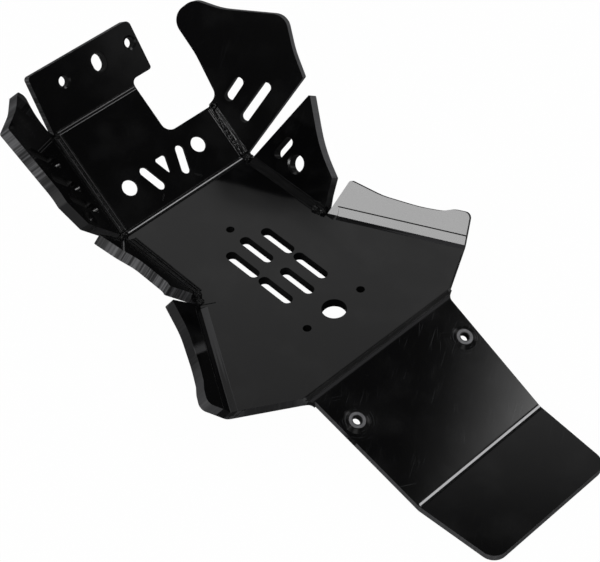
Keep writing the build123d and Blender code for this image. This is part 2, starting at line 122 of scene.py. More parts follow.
@dataclass(frozen=True)
class Folds:
    """The plate's fold lines in millimetres and degrees, the same as those of the solid."""

    sheet: float = 8.0
    half: float = 63.0
    front: float = 105.68
    face_height: float = 93.6
    tail_y: float = -108.31
    tail_run: float = 108.0
    face_angle: float = 36.3
    flange_angle: float = 19.2
    tail_angle: float = 20.0
    front_wing_angle: float = 50.0
    right_mid_angle: float = 55.0
    other_wing_angle: float = 48.0
    right_rear_foot: Span = (65.82, 12.4)
    right_rear_heading: float = -62.8
    left_rear_foot: Span = (-68.42, 10.0)
    left_rear_heading: float = 60.9

    def frames(self) -> dict[Panel, Matrix]:
        """Return each panel's frame.

        Returns:
            The frames by panel, in metres.
        """
        right, left = (self.half, 0.0), (-self.half, 0.0)
        other = self.other_wing_angle
        floor = Matrix.Identity(4)
        face = Fold(floor, (0.0, self.front), 0.0, self.face_angle).frame()
        tail = Fold(floor, (0.0, self.tail_y), 180.0, -self.tail_angle).frame()
        drop = Matrix.Translation(tail.to_3x3() @ Vector((0, 0, self.sheet * MM)))
        tail = Matrix.Translation(Vector((0, 0, -self.sheet * MM))) @ drop @ tail
        return {
            Panel.FLOOR: floor,
            Panel.FACE: face,
            Panel.FLANGE: Fold(face, (0.0, self.face_height), 0.0, self.flange_angle).frame(),
            Panel.TAIL: tail,
            Panel.FLAP: Fold(tail, (0.0, self.tail_run), 0.0, self.tail_angle).frame(),
            Panel.RIGHT_FRONT: Fold(face, right, -90.0, self.front_wing_angle).frame(),
            Panel.LEFT_FRONT: Fold(face, left, 90.0, self.front_wing_angle).frame(),
            Panel.RIGHT_MID: Fold(floor, right, -90.0, self.right_mid_angle).frame(),
            Panel.LEFT_MID: Fold(floor, left, 90.0, other).frame(),
            Panel.RIGHT_REAR: Fold(floor, self.right_rear_foot, self.right_rear_heading, other).frame(),
            Panel.LEFT_REAR: Fold(floor, self.left_rear_foot, self.left_rear_heading, other).frame(),
        }


FOLDS = Folds()
FRAMES = FOLDS.frames()


@dataclass(frozen=True)
class Gloss:
    """Finish of the sheet: its colours, some of them painted highlights and reflections, and its roughnesses.
    """

    black: Color = (0.0018, 0.0018, 0.0020, 1.0)
    haze: Color = (0.0062, 0.0062, 0.0064, 1.0)
    scratch: Color = (0.036, 0.037, 0.039, 1.0)
    cut_dark: Color = (0.015, 0.015, 0.016, 1.0)
    cut_light: Color = (0.135, 0.135, 0.141, 1.0)
    milled_dark: Color = (0.008, 0.008, 0.0084, 1.0)
    milled_light: Color = (0.038, 0.038, 0.040, 1.0)
    melt_dark: Color = (0.0025, 0.0025, 0.0027, 1.0)
    melt_light: Color = (0.0095, 0.0095, 0.0099, 1.0)
    # Pale colour of the fold crests: a painted highlight.
    crest_highlight: Color = (0.62, 0.62, 0.63, 1.0)
    # Pale tops of the tail's bolt seats: a painted highlight.
    seat_glint: Color = (0.19, 0.19, 0.20, 1.0)
    # Paler band in the bend between floor and tail: a painted reflection.
    bend: Color = (0.026, 0.026, 0.027, 1.0)
    # Pale patch across the left rear wing: a painted reflection.
    smudge_and_reflection: Color = (0.062, 0.062, 0.064, 1.0)
    face_roughness: float = 0.055
    smear_roughness: float = 0.05
    wear_roughness: float = 0.12
    wall_roughness: float = 0.22
    cut_roughness: float = 0.58
    line_roughness: float = 0.75
    melt_roughness: float = 0.22


class NodePen:
    """Pen that adds and links shader nodes in one tree."""

    def __init__(self, tree: bpy.types.NodeTree) -> None:
        """Keep the tree that the nodes go into."""
        self.tree = tree

    def add(self, kind: str, **settings: object) -> bpy.types.Node:
        """Add a node and set its properties.

        Args:
            kind: the node's type name.
            settings: properties to set on it.

        Returns:
            The new node.
        """
        node = self.tree.nodes.new(kind)
        for name, value in settings.items():
            setattr(node, name, value)
        return node

    def join(self, source: object, target: Socket) -> None:
        """Link a socket, or set a plain value on the target.

        Args:
            source: a socket or a plain value.
            target: the socket that takes it.
        """
        if isinstance(source, Socket):
            self.tree.links.new(source, target)
        else:
            target.default_value = source

    def math(self, operation: str, a: Value, b: Value = 0.0) -> Socket:
        """Return the result of a math node on two values or sockets.

        Args:
            operation: the node's operation.
            a: its first value.
            b: its second value.

        Returns:
            The node's result.
        """
        node = self.add("ShaderNodeMath", operation=operation)
        self.join(a, node.inputs[0])
        self.join(b, node.inputs[1])
        return node.outputs[0]

    def times(self, first: Value, *others: Value) -> Value:
        """Return the product of all the values.

        Args:
            first: the first value.
            others: the values that multiply it.

        Returns:
            The product.
        """
        for other in others:
            first = self.math("MULTIPLY", first, other)
        return first

    def most(self, first: Value, *others: Value) -> Value:
        """Return the largest of all the values.

        Args:
            first: the first value.
            others: the values to set against it.

        Returns:
            The largest.
        """
        for other in others:
            first = self.math("MAXIMUM", first, other)
        return first

    def rest(self, value: Value) -> Socket:
        """Return 1 less the value."""
        return self.math("SUBTRACT", 1.0, value)

    def apart(self, value: Value, middle: float = 0.0) -> Socket:
        """Return how far a value is from a middle, on either side.

        Args:
            value: the value.
            middle: what it is measured from.

        Returns:
            The gap, never under 0.
        """
        if middle:
            value = self.math("SUBTRACT", value, middle)
        return self.math("ABSOLUTE", value)

    def ramp(self, value: Value, span: Span, unit: float = 1.0) -> Socket:
        """Return value moved from a span of units into 0 to 1, smoothed and clamped.

        Args:
            value: the value or socket.
            span: where the result is 0, and where it is 1.
            unit: the size of one unit of the span.

        Returns:
            The result, from 0 to 1.
        """
        node = self.add("ShaderNodeMapRange", interpolation_type="SMOOTHSTEP", clamp=True)
        self.join(value, node.inputs["Value"])
        node.inputs["From Min"].default_value = span[0] * unit
        node.inputs["From Max"].default_value = span[1] * unit
        return node.outputs["Result"]

    def ramp_mm(self, value: Value, low: float, high: float) -> Socket:
        """Return a length moved from low to high, in millimetres, into 0 to 1."""
        return self.ramp(value, (low, high), MM)

    def vector_math(self, operation: str, a: Socket, b: object = None, result: str = "Vector") -> Socket:
        """Return a result of a vector math node on a socket and a fixed vector.

        Args:
            operation: the node's operation.
            a: its first vector.
            b: its second vector, if it takes one.
            result: the output's name.

        Returns:
            The node's output of that name.
        """
        node = self.add("ShaderNodeVectorMath", operation=operation)
        self.join(a, node.inputs[0])
        if b is not None:
            node.inputs[1].default_value = b
        return node.outputs[result]

    def dot(self, a: Socket, axis: Vector) -> Socket:
        """Return the dot product of a vector socket and a fixed axis."""
        return self.vector_math("DOT_PRODUCT", a, axis, "Value")

    def local(self, coordinates: Socket, place: Matrix) -> Socket:
        """Return coordinates read in a panel's own frame.

        Args:
            coordinates: the point, in the frame that holds the place.
            place: the frame to read it in.

        Returns:
            The point in that frame.
        """
        node = self.add("ShaderNodeMapping", vector_type="TEXTURE")
        self.join(coordinates, node.inputs["Vector"])
        node.inputs["Location"].default_value = place.to_translation()
        node.inputs["Rotation"].default_value = place.to_euler()
        return node.outputs["Vector"]

    def scaled(self, vector: Socket, scale: Triple) -> Socket:
        """Return a vector socket multiplied axis by axis."""
        return self.vector_math("MULTIPLY", vector, scale)

    def split(self, vector: Socket) -> tuple[Socket, ...]:
        """Return the x, y and z of a vector socket.

        Args:
            vector: the vector to take apart.

        Returns:
            Its x, y and z.
        """
        node = self.add("ShaderNodeSeparateXYZ")
        self.join(vector, node.inputs[0])
        return tuple(node.outputs)

    def noise(self, vector: Socket, scale: float, detail: float = 1.0) -> Socket:
        """Return the value of a noise texture read at vector.

        Args:
            vector: where the texture is read.
            scale: how many waves go in a metre.
            detail: how many finer layers it has.

        Returns:
            The texture's value, from 0 to 1.
        """
        node = self.add("ShaderNodeTexNoise", noise_dimensions="3D")
        self.join(vector, node.inputs["Vector"])
        node.inputs["Scale"].default_value = scale
        node.inputs["Detail"].default_value = detail
        return node.outputs["Fac"]

    def mix(self, factor: Value, a: object, b: object, kind: str = "FLOAT") -> Socket:
        """Return a value mixed from a to b by factor; kind says what the two values are.

        Args:
            factor: 0 for a and 1 for b.
            a: the first value.
            b: the second value.
            kind: FLOAT, VECTOR or RGBA.

        Returns:
            The mixed value.
        """
        node = self.add("ShaderNodeMix", data_type=kind)
        first = MIX_INPUTS[kind]
        for value, place in ((factor, 0), (a, first), (b, first + 1)):
            self.join(value, node.inputs[place])
        return node.outputs[first // 2 - 1]

    def mix_vector(self, factor: Value, a: Socket, b: Socket) -> Socket:
        """Return a vector mixed from a to b by factor."""
        return self.mix(factor, a, b, "VECTOR")

    def mix_color(self, factor: Value, a: Socket | Color, b: Socket | Color) -> Socket:
        """Return a colour mixed from a to b by factor."""
        return self.mix(factor, a, b, "RGBA")

    def mix_shader(self, factor: Socket, a: bpy.types.Node, b: bpy.types.Node) -> bpy.types.Node:
        """Return a shader mixed from a to b by factor.

        Args:
            factor: 0 for a and 1 for b.
            a: the first shader.
            b: the second shader.

        Returns:
            The mix's node.
        """
        node = self.add("ShaderNodeMixShader")
        self.join(factor, node.inputs[0])
        self.join(a.outputs[0], node.inputs[1])
        self.join(b.outputs[0], node.inputs[2])
        return node

    def bump(self, height: Value, strength: Value, distance: float, under: Socket | None = None) -> Socket:
        """Return the normal bumped by height over a distance in millimetres, laid on another bump.

        Args:
            height: the height, from 0 to 1.
            strength: how much of it shows.
            distance: how far a height of 1 stands out.
            under: the normal it is laid on.

        Returns:
            The bumped normal.
        """
        node = self.add("ShaderNodeBump")
        self.join(strength, node.inputs["Strength"])
        node.inputs["Distance"].default_value = distance * MM
        self.join(height, node.inputs["Height"])
        if under is not None:
            self.join(under, node.inputs["Normal"])
        return node.outputs["Normal"]

    def plastic(self, color: Socket, roughness: Socket, normal: Socket) -> None:
        """Finish a material's tree with a plastic surface.

        Args:
            color: the base colour.
            roughness: how dull the surface is.
            normal: the bumped normal.
        """
        shader = self.add("ShaderNodeBsdfPrincipled")
        for value, name in ((color, "Base Color"), (roughness, "Roughness"), (normal, "Normal")):
            self.join(value, shader.inputs[name])
        shader.inputs["IOR"].default_value = PLASTIC_IOR
        output = self.add("ShaderNodeOutputMaterial")
        self.join(shader.outputs["BSDF"], output.inputs["Surface"])


def added(name: str, data: bpy.types.ID) -> bpy.types.Object:
    """Return a new object that holds data, linked to the scene.

    Args:
        name: the object's name.
        data: what it holds.

    Returns:
        The new object.
    """
    made = bpy.data.objects.new(name, data)
    bpy.context.scene.collection.objects.link(made)
    return made


def blank_material(name: str) -> tuple[bpy.types.Material, NodePen]:
    """Return a new material with an empty tree, and the pen that draws in it.

    Args:
        name: the material's name.

    Returns:
        The material and its pen.
    """
    material = bpy.data.materials.new(name)
    material.use_nodes = True
    material.node_tree.nodes.clear()
    return material, NodePen(material.node_tree)


@dataclass(frozen=True)
class Stripe:
    """Fine stripe along a fold: its place across it, half its width, its strength and any twin."""

    at: float
    half: float
    strength: float = 1.0
    twin: bool = False


@dataclass(frozen=True)
class FoldLine:
    """Fold seen by the material: its panel, ends, melted width, crest with a painted highlight and dull rim.
    """

    panel: Panel
    start: float
    end: float
    melted: float
    crest_glint: Stripe | None = None
    rim: Stripe | None = None


# Each crest stripe carries a painted highlight along its fold.
FOLD_LINES = (
    FoldLine(Panel.FACE, -60.0, 60.0, 2.9, Stripe(0.0, 0.35, 0.85), Stripe(-1.5, 0.9)),
    FoldLine(Panel.FLANGE, -60.0, 17.0, 2.9, Stripe(1.1, 0.2, 0.42, True), Stripe(0.0, 0.75)),
    FoldLine(Panel.FLAP, -62.5, 62.5, 3.2, Stripe(0.15, 0.85), Stripe(1.75, 0.45)),
    FoldLine(Panel.RIGHT_FRONT, -49.5, 0.0, 6.0, Stripe(-2.4, 0.4, 0.09)),
    FoldLine(Panel.LEFT_FRONT, 0.0, 93.6, 6.0, Stripe(2.0, 0.3, 0.085, True), Stripe(0.0, 0.0)),
    FoldLine(Panel.RIGHT_MID, -99.6, -13.5, 6.0),
    FoldLine(Panel.LEFT_MID, 13.5, 99.6, 6.0, Stripe(2.0, 0.3, 0.05, True), Stripe(0.0, 0.0)),
)


@dataclass(frozen=True)
class Zone:
    """Box on a panel, through the sheet: its middle, half its size and its turn in degrees."""

    panel: Panel
    middle: Span
    half: Span
    turn: float = 0.0
    half_depth: float = 9.5

    def place(self) -> Matrix:
        """Return the frame of the zone's middle, turned along it."""
        middle = Matrix.Translation(Vector((self.middle[0] * MM, self.middle[1] * MM, 0.0)))
        return FRAMES[self.panel] @ middle @ Matrix.Rotation(math.radians(self.turn), 4, "Z")

    def outside(self, pen: NodePen, where: Socket) -> Socket:
        """Return how far a point is outside the box, less than 0 inside it.

        Args:
            pen: the pen that draws the nodes.
            where: the point, in the plate's frame.

        Returns:
            The distance, in metres.
        """
        size = pen.vector_math("ABSOLUTE", pen.local(where, self.place()))
        reach = (self.half[0] * MM, self.half[1] * MM, self.half_depth * MM)
        x, y, z = pen.split(pen.vector_math("SUBTRACT", size, reach))
        return pen.most(y, z, x)


SMOOTH_WALLS = (
    Zone(Panel.FLOOR, (0.0, -8.0), (36.0, 68.0)),
    Zone(Panel.FLOOR, (0.0, -110.5), (73.0, 4.5)),
    Zone(Panel.FACE, (0.0, 26.0), (47.0, 16.5)),
    Zone(Panel.FLANGE, (-1.0, 33.0), (42.0, 10.5)),
    Zone(Panel.RIGHT_FRONT, (-49.0, 25.3), (16.5, 6.5), -71.5),
    Zone(Panel.RIGHT_FRONT, (-30.3, 34.0), (24.5, 6.5), -73.0),
    Zone(Panel.RIGHT_MID, (-57.3, 20.8), (10.5, 10.5)),
    Zone(Panel.RIGHT_MID, (-74.7, 25.2), (13.0, 6.5), 71.2),
    Zone(Panel.LEFT_FRONT, (22.9, 40.5), (8.0, 8.0)),
    Zone(Panel.LEFT_FRONT, (78.1, 51.5), (24.5, 6.0), 67.6),
    Zone(Panel.LEFT_FRONT, (55.0, 43.5), (24.5, 6.0), 70.3),
    Zone(Panel.LEFT_FRONT, (35.2, 36.8), (24.5, 6.0), 67.5),
    Zone(Panel.TAIL, (55.5, 33.8), (12.0, 12.0)),
    Zone(Panel.TAIL, (-55.5, 33.8), (12.0, 12.0)),
)
MILLED_GROOVES = (
    Zone(Panel.RIGHT_REAR, (59.5, 0.6), (53.0, 7.2)),
    Zone(Panel.LEFT_REAR, (-54.5, 0.6), (53.0, 7.2)),
)
TAIL_FACE = Zone(Panel.TAIL, (0.0, 54.5), (72.0, 50.5))
ZONE_FADE = 0.5


def inside_any(pen: NodePen, where: Socket, zones: tuple[Zone, ...]) -> Socket:
    """Return 1 inside any of the zones, else 0.

    Args:
        pen: the pen that draws the nodes.
        where: the point, in the plate's frame.
        zones: the zones to test.

    Returns:
        The mask.
    """
    outside: Value = 1.0
    for zone in zones:
        outside = pen.math("MINIMUM", outside, zone.outside(pen, where))
    return pen.ramp_mm(outside, ZONE_FADE, 0.0)


@dataclass(frozen=True)
class FlatFaces:
    """Test for the panels' inner and outer faces, as against cut edges and hole walls."""

    tolerance: float = 0.3
    level: Span = (0.9960, 0.9985)

    def mask(self, pen: NodePen, where: Socket, normal: Socket) -> Socket:
        """Return 1 on the flat faces and 0 elsewhere.

        Args:
            pen: the pen that draws the nodes.
            where: the point, in the plate's frame.
            normal: the surface's normal there.

        Returns:
            The mask.
        """
        half = FOLDS.sheet / 2 * MM
        best: Value = 0.0
        for place in FRAMES.values():
            axis = place.col[2].to_3d()
            middle = axis.dot(place.to_translation()) - half
            along = pen.apart(pen.dot(normal, axis))
            depth = pen.apart(pen.dot(where, axis), middle)
            on_face = pen.math("LESS_THAN", pen.apart(depth, half), self.tolerance * MM)
            best = pen.most(best, pen.times(along, on_face))
        return pen.ramp(best, self.level)


@dataclass(frozen=True)
class FoldMarks:
    """Melted strips of the folds, with painted highlights on their crests, dull rims and drawn streaks."""

    end_fade: float = 1.0
    melt_fade: float = 0.4
    crest_fade: float = 0.2
    rim_fade: float = 0.25
    inner_fade: float = 0.1
    streak_stretch: Triple = (0.06, 1.0, 1.0)
    streak_scale: float = 900.0
    streak_detail: float = 3.0

    def stripe(self, pen: NodePen, across: Socket, stripe: Stripe, fade: float) -> Socket:
        """Return 1 along a stripe of a fold.

        Args:
            pen: the pen that draws the nodes.
            across: the distance across the fold.
            stripe: the stripe.
            fade: how far its edge fades out.

        Returns:
            The mask.
        """
        if stripe.twin:
            across = pen.apart(across)
        off = pen.apart(across, stripe.at * MM)
        return pen.ramp_mm(off, stripe.half + fade, stripe.half - self.inner_fade)

    def masks(self, pen: NodePen, where: Socket) -> tuple[Value, ...]:
        """Return the melted strips, the painted highlights on their crests, their rims and the streaks along
        them.

        Args:
            pen: the pen that draws the nodes.
            where: the point, in the plate's frame.

        Returns:
            The three masks, and the streaks' value.
        """
        melted: Value = 0.0
        crest_glint: Value = 0.0
        rim: Value = 0.0
        run = where
        for line in FOLD_LINES:
            local = pen.local(where, FRAMES[line.panel])
            x, y, z = pen.split(local)
            away = pen.math("SQRT", pen.math("ADD", pen.times(y, y), pen.times(z, z)))
            middle, half = (line.start + line.end) / 2, (line.end - line.start) / 2
            inside = pen.ramp_mm(pen.apart(x, middle * MM), half + self.end_fade, half)
            here = pen.times(inside, pen.ramp_mm(away, line.melted + self.melt_fade, line.melted))
            melted = pen.most(melted, here)
            run = pen.mix_vector(here, run, pen.scaled(local, self.streak_stretch))
            if line.crest_glint is not None:
                band = self.stripe(pen, y, line.crest_glint, self.crest_fade)
                crest_glint = pen.most(crest_glint, pen.times(band, here, line.crest_glint.strength))
            if line.rim is not None:
                dull = self.stripe(pen, y, line.rim, self.rim_fade)
                rim = pen.most(rim, pen.times(dull, inside))
        return melted, crest_glint, rim, pen.noise(run, self.streak_scale, self.streak_detail)


@dataclass(frozen=True)
class Step:
    """Change of a tone along a run, from start to end in millimetres."""

    start: float
    end: float
    tone: float


def stepped(pen: NodePen, along: Socket, base: float, steps: tuple[Step, ...]) -> Value:
    """Return a tone that starts at base and is changed by each step in turn.

    Args:
        pen: the pen that draws the nodes.
        along: the length along the run.
        base: the tone before the first step.
        steps: the changes, in order.

    Returns:
        The tone.
    """
    tone: Value = base
    for step in steps:
        tone = pen.mix(pen.ramp_mm(along, step.start, step.end), tone, step.tone)
    return tone


@dataclass(frozen=True)
class CutEdges:
    """Edges that the cutter left: bands of chatter on the left front, smooth elsewhere, with tone steps along
    them that are painted light and shade.
    """

    wing_x: Span = (64.0, 66.0)
    front_y: Span = (100.0, 104.0)
    rear_y: Span = (12.5, 10.5)
    face_y: Span = (106.0, 108.0)
    flange_y: Span = (180.0, 182.0)
    tail_length: float = 2.0
    raised_z: float = 1.0
    through_stretch: Triple = (1.0, 1.0, 0.02)
    fine_scale: float = 620.0
    broad_scale: float = 124.0
    fine_share: float = 0.6
    bands: Span = (0.36, 0.66)
    chatter: float = 0.5
    chatter_middle: float = 0.5
    # Tone steps along the edges: painted light and shade.
    rear_steps: tuple[Step, ...] = (
        Step(-30.0, -60.0, 0.32),
        Step(-80.0, -88.0, 0.0),
        Step(-102.0, -115.0, 0.36),
    )
    right_steps: tuple[Step, ...] = (Step(19.5, 22.5, 0.68),)
    left_front_dim: float = 0.03
    left_front_steps: tuple[Step, ...] = (Step(52.0, 64.0, 0.9),)
    left_mid_dim: float = 0.32
    left_mid_steps: tuple[Step, ...] = (Step(86.0, 70.0, 1.0),)
    left_wings_meet: Span = (12.0, 18.0)

    def ridges(self, pen: NodePen, where: Socket) -> Socket:
        """Return the cutter's chatter: bands that run through the sheet, side by side along an edge.

        Args:
            pen: the pen that draws the nodes.
            where: the point, in the plate's frame.

        Returns:
            The bands' value, from 0 to 1.
        """
        x, y, z = pen.split(where)
        wing = pen.ramp(pen.apart(x), self.wing_x, MM)
        left = pen.times(wing, pen.math("LESS_THAN", x, 0.0))
        right = pen.times(wing, pen.math("GREATER_THAN", x, 0.0))
        front = pen.ramp(y, self.front_y, MM)
        rear = pen.ramp(y, self.rear_y, MM)
        raised = pen.times(rear, pen.ramp_mm(z, 0.0, self.raised_z))
        run = where
        choices = (
            (Panel.FACE, pen.ramp(y, self.face_y, MM)),
            (Panel.FLANGE, pen.ramp(y, self.flange_y, MM)),
            (Panel.LEFT_MID, left),
            (Panel.RIGHT_MID, right),
            (Panel.LEFT_FRONT, pen.times(left, front)),
            (Panel.RIGHT_FRONT, pen.times(right, front)),
            (Panel.FLOOR, rear),
            (Panel.LEFT_REAR, pen.times(left, raised)),
            (Panel.RIGHT_REAR, pen.times(right, raised)),
            (Panel.TAIL, pen.ramp_mm(y, FOLDS.tail_y, FOLDS.tail_y - self.tail_length)),
        )
        for panel, weight in choices:
            run = pen.mix_vector(weight, run, pen.local(where, FRAMES[panel]))
        run = pen.scaled(run, self.through_stretch)
        fine = pen.noise(run, self.fine_scale)
        broad = pen.noise(run, self.broad_scale)
        return pen.math("ADD", pen.times(fine, self.fine_share), pen.times(broad, 1.0 - self.fine_share))

    def tone(self, pen: NodePen, where: Socket, ridges: Socket) -> Socket:
        """Return the edges' tone, from 0 dark to 1 light, with painted light and shade stepped along the
        edges.

        Args:
            pen: the pen that draws the nodes.
            where: the point, in the plate's frame.
            ridges: the cutter's chatter, from 0 to 1.

        Returns:
            The tone.
        """
        x, y, z = pen.split(where)
        front = pen.ramp(y, (self.rear_y[1], self.rear_y[0]), MM)
        right = pen.times(front, pen.math("GREATER_THAN", x, 0.0))
        left = pen.math("SUBTRACT", front, right)
        smooth = stepped(pen, y, 0.0, self.rear_steps)
        smooth = pen.mix(right, smooth, stepped(pen, y, 0.0, self.right_steps))
        chatter = pen.times(pen.math("SUBTRACT", ridges, self.chatter_middle), self.chatter)
        smooth = pen.math("ADD", smooth, chatter)
        banded = pen.times(pen.ramp(ridges, self.bands), self.left_dim(pen, where))
        return pen.mix(left, smooth, banded)

    def left_dim(self, pen: NodePen, where: Socket) -> Socket:
        """Return how pale the left wings' bands are, up the front one and along the middle one, as painted
        light and shade.

        Args:
            pen: the pen that draws the nodes.
            where: the point, in the plate's frame.

        Returns:
            The share of the bands' tone that shows.
        """
        up = pen.split(pen.local(where, FRAMES[Panel.LEFT_FRONT]))[0]
        front = stepped(pen, up, self.left_front_dim, self.left_front_steps)
        middle = stepped(pen, pen.split(where)[1], self.left_mid_dim, self.left_mid_steps)
        return pen.mix(pen.ramp(up, self.left_wings_meet, MM), middle, front)


@dataclass(frozen=True)
class Grooves:
    """Milled grooves beside the rear wings: their floor side and the line at their wing side."""

    end_fade: float = 1.0
    inner: Span = (-0.6, -1.0)
    outer: Span = (-8.5, -8.0)
    stretch: Triple = (0.01, 1.0, 0.3)
    scale: float = 620.0
    contrast: Span = (0.45, 0.55)
    line_at: float = 7.0
    line_width: Span = (0.6, 0.3)
    line_depth: Span = (2.0, 1.5)
    line_start: Span = (6.5, 7.5)

    def floor_side(self, pen: NodePen, where: Socket) -> tuple[Value, Socket]:
        """Return where the grooves show their floor side, and the streaks on it.

        Args:
            pen: the pen that draws the nodes.
            where: the point, in the plate's frame.

        Returns:
            The mask, and the streaks' tone.
        """
        shown: Value = 0.0
        run = where
        for zone in MILLED_GROOVES:
            local = pen.local(where, zone.place())
            x, y, z = pen.split(local)
            inside = pen.ramp_mm(pen.apart(x), zone.half[0] + self.end_fade, zone.half[0])
            here = pen.times(inside, pen.ramp(y, self.inner, MM), pen.ramp(y, self.outer, MM))
            shown = pen.most(shown, here)
            run = pen.mix_vector(here, run, pen.scaled(local, self.stretch))
        return shown, pen.ramp(pen.noise(run, self.scale), self.contrast)

    def line(self, pen: NodePen, where: Socket) -> Value:
        """Return the fine rough line where the cutter left the rear wings.

        Args:
            pen: the pen that draws the nodes.
            where: the point, in the plate's frame.

        Returns:
            The mask.
        """
        value: Value = 0.0
        for zone in MILLED_GROOVES:
            x, y, z = pen.split(pen.local(where, FRAMES[zone.panel]))
            line = pen.ramp(pen.apart(y, self.line_at * MM), self.line_width, MM)
            depth = pen.ramp(pen.apart(z), self.line_depth, MM)
            inside = pen.ramp(pen.apart(x), self.line_start, MM)
            value = pen.most(value, pen.times(line, depth, inside))
        return value


@dataclass(frozen=True)
class BoltSeats:
    """The tail's two bolt seats: a painted highlight on their tops, broken into patches, with faint turned
    arcs round them.
    """

    x: float = 55.5
    run: float = 33.8
    outer: Span = (6.4, 5.9)
    inner: Span = (3.7, 4.4)
    arcs: tuple[Span, ...] = ((8.6, 0.8), (10.4, 0.5), (12.7, 0.3), (15.0, 0.2))
    arc_width: Span = (0.5, 0.1)
    patch_scale: float = 90.0
    patches: Span = (0.50, 0.60)
    glint_patch_scale: float = 260.0
    faintest_glint: float = 0.35
    flatten: Triple = (1.0, 1.0, 0.0)

    def marks(self, pen: NodePen, local: Socket) -> tuple[Value, Value]:
        """Return the painted highlight on the seats' tops and the arcs, read in the tail's frame.

        Args:
            pen: the pen that draws the nodes.
            local: the point, in the tail's frame.

        Returns:
            The two masks.
        """
        top: Value = 0.0
        arcs: Value = 0.0
        for side in (-1, 1):
            middle = (side * self.x * MM, self.run * MM, 0.0)
            flat = pen.scaled(pen.vector_math("SUBTRACT", local, middle), self.flatten)
            radius = pen.vector_math("LENGTH", flat, result="Value")
            ring = pen.times(pen.ramp(radius, self.outer, MM), pen.ramp(radius, self.inner, MM))
            top = pen.most(top, ring)
            patchy = pen.ramp(pen.noise(flat, self.patch_scale), self.patches)
            for turned, strength in self.arcs:
                band = pen.ramp(pen.apart(radius, turned * MM), self.arc_width, MM)
                arcs = pen.most(arcs, pen.times(band, strength, patchy))
        # The painted highlight is broken into patches by noise.
        glint_patches = pen.mix(pen.noise(local, self.glint_patch_scale, MORE_DETAIL), self.faintest_glint, 1.0)
        return pen.times(top, glint_patches), arcs


@dataclass(frozen=True)
class BendMarks:
    """The bend between floor and tail: a dull line, then a paler band that is a painted reflection."""

    depth: Span = (3.0, 2.0)
    line_at: float = -0.2
    line_width: Span = (1.6, 0.8)
    band_at: float = 2.7
    band_width: Span = (1.9, 0.5)

    def marks(self, pen: NodePen, local: Socket) -> tuple[Value, Value]:
        """Return the line and the band of painted reflection, read in the tail's frame.

        Args:
            pen: the pen that draws the nodes.
            local: the point, in the tail's frame.

        Returns:
            The two masks.
        """
        x, y, z = pen.split(local)
        near = pen.ramp(pen.apart(z), self.depth, MM)
        line = pen.ramp(pen.apart(y, self.line_at * MM), self.line_width, MM)
        band = pen.ramp(pen.apart(y, self.band_at * MM), self.band_width, MM)
        return pen.times(line, near), pen.times(band, near)


@dataclass(frozen=True)
class WingReflection:
    """Painted reflection across the left rear wing: a pale patch, soft in front and sharp behind."""

    slant: float = 0.76
    behind: Span = (-44.9, -42.1)
    ahead: Span = (-32.5, -40.2)
    depth: Span = (0.6, 0.3)
    from_fold: Span = (6.0, 9.0)

    def mask(self, pen: NodePen, where: Socket) -> Value:
        """Return 1 in the middle of the painted reflection.

        Args:
            pen: the pen that draws the nodes.
            where: the point, in the plate's frame.

        Returns:
            The mask.
        """
        x, y, z = pen.split(pen.local(where, FRAMES[Panel.LEFT_REAR]))
        x = pen.math("ADD", x, pen.times(y, self.slant))
        across = pen.times(pen.ramp(x, self.behind, MM), pen.ramp(x, self.ahead, MM))
        on_wing = pen.times(pen.ramp(pen.apart(z), self.depth, MM), pen.ramp(y, self.from_fold, MM))
        return pen.times(across, on_wing)


@dataclass(frozen=True)
class Hairs:
    """Fine hairs in a few directions, each with its turn in degrees, scale and threshold."""

    directions: tuple[Triple, ...] = ((30.0, 900.0, 0.66), (44.0, 1100.0, 0.67), (155.0, 800.0, 0.70))
    stretch: Triple = (0.035, 1.0, 0.0)
    fade: float = 0.08
    patch_scale: float = 26.0
    patches: Span = (0.36, 0.60)
    elsewhere: float = 0.10
    on_tail: float = 0.42

    def mask(self, pen: NodePen, local: Socket, on_tail: Socket) -> Value:
        """Return the hairs, read in the tail's frame and strongest on the tail.

        Args:
            pen: the pen that draws the nodes.
            local: the point, in the tail's frame.
            on_tail: 1 on the tail's inner face, else 0.

        Returns:
            The mask.
        """
        total: Value = 0.0
        for turn, scale, low in self.directions:
            turned = pen.local(local, Matrix.Rotation(math.radians(turn), 4, "Z"))
            hairs = pen.noise(pen.scaled(turned, self.stretch), scale)
            total = pen.most(total, pen.ramp(hairs, (low, low + self.fade)))
        patch = pen.ramp(pen.noise(local, self.patch_scale, MORE_DETAIL), self.patches)
        return pen.times(total, patch, pen.mix(on_tail, self.elsewhere, self.on_tail))


